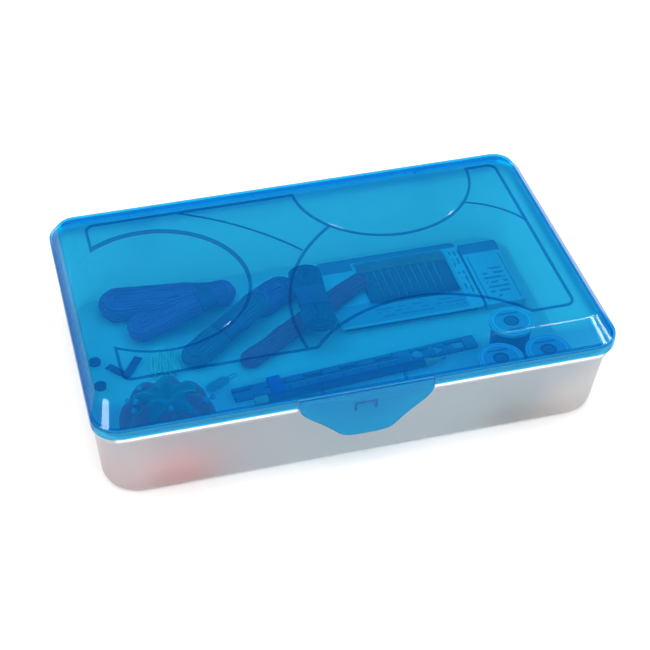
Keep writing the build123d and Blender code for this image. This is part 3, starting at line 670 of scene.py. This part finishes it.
def make_skein(colour, seed):
    """Nested loops of floss, pinched by the paper band and fanned out at the ends."""
    start, end, r1, r2, thick = SKEINS[colour]
    origin, along, across, lift, length = skein_axes(start, end)
    rng = random.Random(seed)
    made = Mesh()
    layers = max(3, int(thick / STRAND_PITCH))
    for layer in range(layers):
        height = (layer + 0.5) / layers * 2 - 1
        inset = (1 - math.sqrt(max(0.0, 1 - abs(height) ** 3))) * min(r1, r2) * 0.45
        loops = int(max(r1, r2) / STRAND_PITCH)
        for loop in range(loops):
            off = STRAND_R + inset + loop * STRAND_PITCH
            if r1 - off < 0.3 and r2 - off < 0.3:
                continue
            hidden = 1 < layer < layers - 3 and loop > 1
            if hidden:
                continue
            a, b = max(0.35, r1 - off), max(0.35, r2 - off)
            wobble = [rng.uniform(0, TAU) for _ in range(6)]
            pull1, pull2 = rng.uniform(0.0, 2.0), rng.uniform(0.0, 2.0)
            path = []
            for x, y in stadium(a, b, length, 1.7):
                pinch = waist(x, length, colour)
                calm = 1 - pinch / BAND_PINCH * 0.8
                if x < 0:
                    x += pull1 * min(1, -x / max(a, 1))
                elif x > length:
                    x -= pull2 * min(1, (x - length) / max(b, 1))
                sway = math.sin(x * 0.13 + wobble[0]) + 0.6 * math.sin(x * 0.29 + wobble[1])
                bob = math.sin(x * 0.17 + wobble[2]) + 0.6 * math.sin(x * 0.37 + y * 0.2 + wobble[3])
                y = (y + 0.34 * calm * sway * (1 if y > 0 else -1)) * (1 - pinch)
                z = height * (thick / 2 - STRAND_R) * (1 - pinch) + 0.22 * calm * bob
                z = max(-thick / 2 + STRAND_R, min(thick / 2 - STRAND_R, z)) + thick / 2
                path.append(origin + along * x + across * y + lift * z)
            made.tube(path, STRAND_R, 6, closed=True, up=lift)
    made.done(f"floss_{colour}", thread(f"floss_{colour}", FLOSS[colour]),
              stands_for=[f"skein_{colour}"], slot=f"floss_{colour}")


def make_loose_hank():
    """Light thread folded to and fro in open hairpins, two layers deep."""
    x0, y0, _ = SKEINS["ecru"][0]
    made = Mesh()
    rng = random.Random(5)
    for layer, (passes, height, reach) in enumerate(((15, 3.2, 11.4), (12, 5.4, 10.0), (9, 7.6, 7.6))):
        path = []
        for k in range(passes):
            spread = (k + 0.5) / passes * 2 - 1
            x_low, x_high = spread * reach, spread * reach * 0.78 + 1.5
            room = math.sqrt(max(0.0, 1 - (spread * 0.86) ** 2))
            low, high = -11.0 * room, 12.0 + 10.0 * room
            low, high = low + rng.uniform(0, 2.5), high - rng.uniform(0, 2.5)
            steps = np.linspace(0, 1, 14)
            if k % 2:
                steps = steps[::-1]
            for t in steps:
                sway = 0.35 * math.sin(t * 7 + k * 1.7 + layer)
                path.append((
                    x0 + x_low + (x_high - x_low) * t + sway,
                    y0 + low + (high - low) * t,
                    height + 0.7 * math.sin(t * 4 + k) * (t * (1 - t) * 4),
                ))
        curve = np.array(path)
        for _ in range(2):
            curve[1:-1] = (curve[:-2] + 2 * curve[1:-1] + curve[2:]) / 4
        made.tube(curve, 0.46, 7, up=(0, 0, 1))
    made.done("floss_ecru", thread("floss_ecru", FLOSS["ecru"]),
              stands_for=["skein_ecru"], slot="floss_ecru")


def make_band(colour):
    """A paper sleeve wrapped round a skein."""
    start, end, r1, r2, thick = SKEINS[colour]
    origin, along, across, lift, length = skein_axes(start, end)
    at, width = BANDS[colour]
    made = Mesh()
    around, rings, paper = 72, 9, 0.22
    shells = []
    for skin in (0.0, paper):
        rows = []
        for i in range(rings):
            x = at * length + (i / (rings - 1) - 0.5) * width
            radius = r1 + (r2 - r1) * x / length
            pinch = waist(x, length, colour)
            half_w = radius * (1 - pinch) + 0.05 + skin
            half_h = thick / 2 * (1 - pinch) + 0.02 + skin
            row = []
            for k in range(around):
                a = TAU * k / around
                c, t = math.cos(a), math.sin(a)
                bulge = 0.07 * math.sin(3 * a + i * 0.7) + 0.05 * math.sin(7 * a + i)
                y = math.copysign(abs(c) ** 0.62, c) * (half_w + bulge)
                z = math.copysign(abs(t) ** 0.62, t) * half_h + thick / 2
                row.append(tuple(origin + along * x + across * y + lift * z))
            rows.append(row)
        shells.append(rows)
    rows = shells[0] + shells[1][::-1]
    made.grid(rows, closed_u=True, closed_v=True)
    made.done(f"paper_{colour}", MATERIALS["band_paper"],
              stands_for=[f"band_{colour}"], slot="band_paper")


# ---------------------------------------------------------------- pincushion

CUSHION = middle("pincushion_body")
CUSHION_R, CUSHION_LOW, SEGMENTS = 33.0, 1.8, 8
GROOVE_TURN = math.radians(11)
CLOTH_FRAMES = 20


def cushion_outline(steps):
    """Half profile of the cushion, from the middle of its foot to the middle of its top: r, z."""
    knots = [(0, 1.8), (9, 1.8), (18, 1.9), (26, 5.0), (31.6, 12.5), (33.0, 22.5), (31.3, 32.5),
             (25.6, 41.0), (16.5, 45.6), (8.0, 45.6), (3.0, 43.6), (0, 42.6)]
    curve = np.array(knots)
    distance = np.concatenate([[0], np.cumsum(np.linalg.norm(np.diff(curve, axis=0), axis=1))])
    wanted = np.linspace(0, distance[-1], steps)
    smooth = np.stack([np.interp(wanted, distance, curve[:, k]) for k in (0, 1)], 1)
    for _ in range(3):
        smooth[1:-1] = (smooth[:-2] + 2 * smooth[1:-1] + smooth[2:]) / 4
    smooth[0, 0] = smooth[-1, 0] = 0
    return smooth


def groove(angle, spread):
    """1 at a seam, falling to 0 between seams."""
    turn = TAU / SEGMENTS
    off = (angle - GROOVE_TURN + turn / 2) % turn - turn / 2
    return math.exp(-abs(off / spread) ** 1.3)


def stuff(obj, cap):
    """Blows the cover up with cloth pressure. Gives where its points go, none further than cap."""
    before = np.array([v.co[:] for v in obj.data.vertices])
    cloth = obj.modifiers.new("cloth", "CLOTH")
    settings = cloth.settings
    settings.use_pressure = True
    settings.uniform_pressure_force = 4
    settings.effector_weights.gravity = 0
    settings.quality = 6
    settings.tension_stiffness = settings.compression_stiffness = 18
    scene = bpy.context.scene
    for step in range(1, CLOTH_FRAMES + 1):
        scene.frame_set(step)
    solved = obj.evaluated_get(bpy.context.evaluated_depsgraph_get()).to_mesh()
    after = np.array([v.co[:] for v in solved.vertices])
    obj.modifiers.remove(cloth)
    scene.frame_set(1)
    move = after - before
    size = np.linalg.norm(move, axis=1)[:, None] + 1e-9
    return before + move * np.minimum(1, cap / size)


def make_pincushion():
    made = Mesh()
    outline = cushion_outline(36)
    around = 96
    x0, y0 = CUSHION
    rows = []
    for r, z in outline[1:-1]:
        shrunk, lifted = 0.955 * r, z * 0.985 + 0.35
        turns = [TAU * k / around for k in range(around)]
        rows.append([(x0 + shrunk * math.cos(a), y0 + shrunk * math.sin(a), lifted) for a in turns])
    made.grid(rows, closed_v=True)
    made.fan((x0, y0, outline[0, 1] + 0.4), list(range(around))[::-1])
    made.fan((x0, y0, outline[-1, 1]), [(len(rows) - 1) * around + k for k in range(around)])
    body = made.done("pincushion_cover", woven("red_cloth", (0.95, 0.02, 0.04)),
                     stands_for=["pincushion_body"], slot="red_cloth")
    remesh = body.modifiers.new("remesh", "REMESH")
    remesh.mode = "VOXEL"
    remesh.voxel_size = 1.9 * MM
    remesh.use_smooth_shade = True
    apply_modifiers(body)
    count = len(body.data.vertices)
    places = np.array([v.co[:] for v in body.data.vertices])
    places = stuff(body, 2.2 * MM)
    places /= MM
    for k in range(count):
        dx, dy, z = places[k, 0] - x0, places[k, 1] - y0, places[k, 2]
        r, angle = math.hypot(dx, dy), math.atan2(dy, dx)
        seam = groove(angle, 0.15)
        high = min(1.0, max(0.0, (z - 4) / 14))
        off_centre = math.sin(min(1.0, r / 20) * math.pi / 2)
        r2 = r * (1 - 0.085 * seam * high) + 1.1 * (0.5 - seam) * off_centre * high
        if z > 24:
            dimple = 3.2 * math.exp(-((r / 5.5) ** 2))
            z -= (3.4 * seam * off_centre + dimple) * min(1, (z - 24) / 12)
        pucker = 0.35 * math.sin(9 * angle + 1.3) * math.exp(-(((r - 10) / 7) ** 2)) * (z > 30)
        z = min(45.9, max(CUSHION_LOW + 0.02, z + pucker))
        r2 = min(34.4, r2)
        places[k] = (x0 + r2 * math.cos(angle), y0 + r2 * math.sin(angle), z)
    body.data.vertices.foreach_set("co", (places * MM).ravel())
    body.data.update()
    divide = body.modifiers.new("smooth", "SUBSURF")
    divide.levels = divide.render_levels = 1
    apply_modifiers(body)
    for polygon in body.data.polygons:
        polygon.use_smooth = True
    return body


def apply_modifiers(obj):
    solved = obj.evaluated_get(bpy.context.evaluated_depsgraph_get())
    data = bpy.data.meshes.new_from_object(solved)
    obj.modifiers.clear()
    old = obj.data
    obj.data = data
    bpy.data.meshes.remove(old)


def surface_over(body):
    """A function giving the cushion's height under a point, from straight above."""
    corners = [v.co[:] for v in body.data.vertices]
    tree = BVHTree.FromPolygons(corners, [p.vertices[:] for p in body.data.polygons])

    def height(x, y):
        hit = tree.ray_cast(Vector((x * MM, y * MM, 0.2)), Vector((0, 0, -1)))
        return hit[0].z / MM if hit[0] else CUSHION_LOW

    def out(angle, z):
        """Radius of the side at that height."""
        x0, y0 = CUSHION
        start = Vector((x0 * MM, y0 * MM, z * MM))
        away = Vector((math.cos(angle), math.sin(angle), 0))
        hit = tree.ray_cast(start + away * 0.06, -away)
        return 60 - hit[3] / MM if hit[0] else CUSHION_R

    return height, out


def make_segment_cords(height, out):
    """Green cords laid in the seams, from the crown to the foot."""
    made = Mesh()
    x0, y0 = CUSHION
    for k in range(SEGMENTS):
        angle = GROOVE_TURN + TAU * k / SEGMENTS
        path = []
        for r in np.linspace(2.0, 24, 16):
            x, y = x0 + r * math.cos(angle), y0 + r * math.sin(angle)
            path.append((x, y, height(x, y) + 0.25))
        for z in np.linspace(path[-1][2] - 2.5, 4.5, 12):
            r = out(angle, z) + 0.25
            path.append((x0 + r * math.cos(angle), y0 + r * math.sin(angle), z))
        smooth = np.array(path)
        smooth[1:-1] = (smooth[:-2] + 2 * smooth[1:-1] + smooth[2:]) / 4
        made.tube(smooth, 0.5, 7, up=(-math.sin(angle), math.cos(angle), 0.01))
    made.done("pincushion_cords", thread("green_cord", (0.03, 0.16, 0.05)), slot="green_felt")


LEAF_R, LEAF_NECK, LEAVES = 21.0, 11.5, 5


def leaf_reach(angle):
    """How far the felt star reaches at that angle: pointed lobes with rounded necks."""
    turn = TAU / LEAVES
    off = abs((angle - math.pi / 2 + turn / 2) % turn - turn / 2) / (turn / 2)
    return LEAF_NECK + (LEAF_R - LEAF_NECK) * (0.5 + 0.5 * math.cos(math.pi * off)) ** 1.15


def make_leaves(height):
    """One felt star, laid on the crown and over the first bend of the sides."""
    made = Mesh()
    x0, y0 = CUSHION
    around, rings, thick = 180, 16, 1.1
    top, low = [], []
    for i in range(1, rings + 1):
        row_top, row_low = [], []
        for k in range(around):
            angle = TAU * k / around
            reach = leaf_reach(angle) * (1 + 0.012 * math.sin(23 * angle) + 0.01 * math.sin(41 * angle))
            r = reach * i / rings
            x, y = x0 + r * math.cos(angle), y0 + r * math.sin(angle)
            beside = ((0, 0), (2.2, 0), (-2.2, 0), (0, 2.2), (0, -2.2))
            near = [height(x + dx, y + dy) for dx, dy in beside]
            base = max(near[0] + 0.12, sum(near) / 5 + 0.25)
            curl = 0.9 * (i / rings) ** 3 * (0.5 + 0.5 * math.sin(5 * angle + 0.6))
            row_top.append((x, y, base + thick * (1 - 0.35 * (i == rings)) + curl))
            row_low.append((x, y, base + curl * 0.8))
        top.append(row_top)
        low.append(row_low)
    rows = low + top[::-1]
    start = made.grid(rows, closed_v=True)
    last = start + (len(rows) - 1) * around
    made.fan((x0, y0, height(x0, y0) + 0.3), [start + k for k in range(around)])
    made.fan((x0, y0, height(x0, y0) + thick + 0.3), [last + k for k in range(around)])
    leaves = made.done("pincushion_leaf_star", felt("green_felt", (0.012, 0.065, 0.045)),
                       stands_for=["pincushion_leaves"], slot="green_felt")


# ---------------------------------------------------------------- spools' thread, ribbon, needles

WOUND_SLOTS = {"front": "teal_thread", "side": "white_thread", "back": "navy_thread"}


def make_winding(name, colour):
    """Thread wound on a spool, each turn a ridge, in slightly uneven layers."""
    x0, y0 = SPOOL_PLACES[name]
    low, high, radius, pitch, hub = 4.0, 36.6, 13.15, 0.46, 7.4
    around, steps = 72, 4
    turns = int((high - low) / pitch)
    rows, made = [], Mesh()
    for i in range(turns * steps + 1):
        z = low + (high - low) * i / (turns * steps)
        row = []
        for k in range(around):
            angle = TAU * k / around
            phase = (z / pitch - k / around) * TAU
            swell = 0.10 * math.sin(z * 0.7 + 2 * math.sin(angle)) + 0.06 * math.sin(z * 2.1 + angle)
            r = radius + 0.14 * math.cos(phase) + swell
            row.append((x0 + r * math.cos(angle), y0 + r * math.sin(angle), z))
        rows.append(row)
    start = made.grid(rows, closed_v=True, uv=lambda i, k: (k / around * TAU * radius * MM, i / steps))
    for z, first in ((low, start), (high, start + turns * steps * around)):
        inner = len(made.points)
        for k in range(around):
            angle = TAU * k / around
            made.points.append((x0 + hub * math.cos(angle), y0 + hub * math.sin(angle), z))
        for k in range(around):
            n = (k + 1) % around
            made.faces.append((first + k, first + n, inner + n, inner + k))
            made.uvs.append(((0, 0),) * 4)
    made.done(f"wound_thread_{name}", thread(f"thread_{name}", colour, sheen=0.5),
              stands_for=[f"thread_{name}"], slot=WOUND_SLOTS[name])


RIBBON_POINTS = ((-145.0, 21.5), (-134.5, 9.5), (-124.8, 24.5))


def make_ribbon():
    """A short end of satin ribbon folded over into a V."""
    made = Mesh()
    for arm, (near, far) in enumerate(zip(RIBBON_POINTS, RIBBON_POINTS[1:])):
        near, far = np.array(near), np.array(far)
        run = (far - near) / np.linalg.norm(far - near)
        aside = np.array((-run[1], run[0]))
        rows = []
        for width in np.linspace(-3.0, 3.0, 9):
            row = []
            for t in np.linspace(-0.1, 1.1, 30):
                x, y = near + (far - near) * t + aside * width
                crease = 0.16 * math.sin(t * 9 + arm) + 0.06 * math.sin(width * 1.9 + t * 5)
                row.append((x, y, 2.25 + 0.75 * arm + crease))
            rows.append(row)
        made.grid(rows)
    ribbon = made.done("ribbon_fold", satin("plum_ribbon", (0.20, 0.02, 0.14)), stands_for=["ribbon_end"],
                       slot="plum_ribbon")
    thick = ribbon.modifiers.new("thick", "SOLIDIFY")
    thick.thickness = 0.18 * MM
    apply_modifiers(ribbon)


def satin(name, colour):
    s = Shader(name)
    ribs = s.noise(1.0, 2, 0.5, s.stretched((4200, 4200, 600)))
    tone = s.mix(ribs, tuple(c * 0.7 for c in colour), colour)
    return s.principled(tone, 0.32, s.bump(ribs, 0.25, 0.0001), Sheen_Weight=0.3, Sheen_Roughness=0.3)


def make_needles():
    """Sewing needles with a long point."""
    made = Mesh()
    for count in range(9):
        x = 56.0 + 5.6 * count
        y0, y1 = 38.0 + 0.8 * math.sin(count * 2.1), 72.0
        ys = np.linspace(y0, y1, 18)
        radii = [0.34 * min(1, 0.06 + (y - y0) / 9) for y in ys]
        made.tube([(x, y, 6.25) for y in ys], radii, 8, up=(0, 0, 1))
    made.done("needle_set", MATERIALS["steel"], stands_for=["hand_needles"], slot="steel")


def make_felt_strip():
    """The felt strip that holds the needles' eyes, with pinked edges."""
    made = Mesh()
    shells = []
    for z in (5.82, 6.28):
        rows = []
        for i in range(13):
            y = 72.6 + 8.8 * i / 12
            edge = 0.25 if i in (0, 12) else 0.0
            rows.append([(x, y + edge * math.sin(x * 2.4), z + 0.04 * math.sin(x * 0.7 + y)) for x in
                         np.linspace(45.1, 110.9, 90)])
        shells.append(rows)
    rows = shells[0] + shells[1][::-1]
    made.grid(rows, closed_u=True)
    n = len(rows)
    for j in (0, 89):
        ring = [i * 90 + j for i in range(n)]
        centre = np.mean([made.points[k] for k in ring], 0)
        made.fan(tuple(centre), ring)
    made.done("felt_strip", felt("rust_felt", (0.30, 0.05, 0.03)),
              stands_for=["needle_strip"], slot="rust_felt")


# ---------------------------------------------------------------- put together

MATERIALS = {}


def make_materials():
    MATERIALS.update({
        "lid_plastic": lid_plastic(),
        "tub_plastic": tub_plastic(),
        "steel": metal("steel", (0.62, 0.63, 0.65), 0.22),
        "aluminium": metal("aluminium", (0.78, 0.79, 0.80), 0.3),
        "pearl_plastic": moulded("pearl_plastic", (0.34, 0.30, 0.40), 0.16),
        "gauge_plastic": gauge_plastic(),
        "slider_plastic": moulded("slider_plastic", (0.02, 0.06, 0.30), 0.3),
        "pencil_paint": pencil_paint(),
        "graphite": moulded("graphite", (0.03, 0.03, 0.035), 0.4),
        "navy_card": plain_card("navy_card", (0.012, 0.018, 0.07)),
        "white_card": white_card(),
        "clear_film": clear_film(),
        "plum_plastic": moulded("plum_plastic", (0.16, 0.02, 0.10), 0.25),
        "spool_plastic": moulded("spool_plastic", (0.50, 0.53, 0.57), 0.35),
        "label_paper": label_paper(),
        "band_paper": plain_card("band_paper", (0.12, 0.05, 0.12)),
    })
    for subpart in frame["record"]["subparts"]:
        slot = subpart["material_slot"]
        if slot in MATERIALS:
            node = nodes[subpart["node"]]
            node.data.materials.clear()
            node.data.materials.append(MATERIALS[slot])


def make_floor():
    s = Shader("floor_white")
    pale = s.mix(s.noise(3), (0.92, 0.92, 0.92), (0.93, 0.93, 0.93))
    s.principled(pale, 0.9)
    bpy.ops.mesh.primitive_plane_add(size=14, location=(0, 0, -0.0005))
    floor = bpy.context.object
    floor.name = "floor"
    floor.data.materials.append(s.material)


make_camera()
make_studio()
make_materials()
make_floor()
for order, floss_colour in enumerate(SKEINS):
    if floss_colour != "ecru":
        make_skein(floss_colour, 11 + order)
make_loose_hank()
for floss_colour in BANDS:
    make_band(floss_colour)
cover = make_pincushion()
cover_height, cover_out = surface_over(cover)
make_segment_cords(cover_height, cover_out)
make_leaves(cover_height)
make_winding("front", (0.03, 0.22, 0.30))
make_winding("side", (0.80, 0.80, 0.80))
make_winding("back", (0.02, 0.04, 0.22))
make_ribbon()
make_needles()
make_felt_strip()
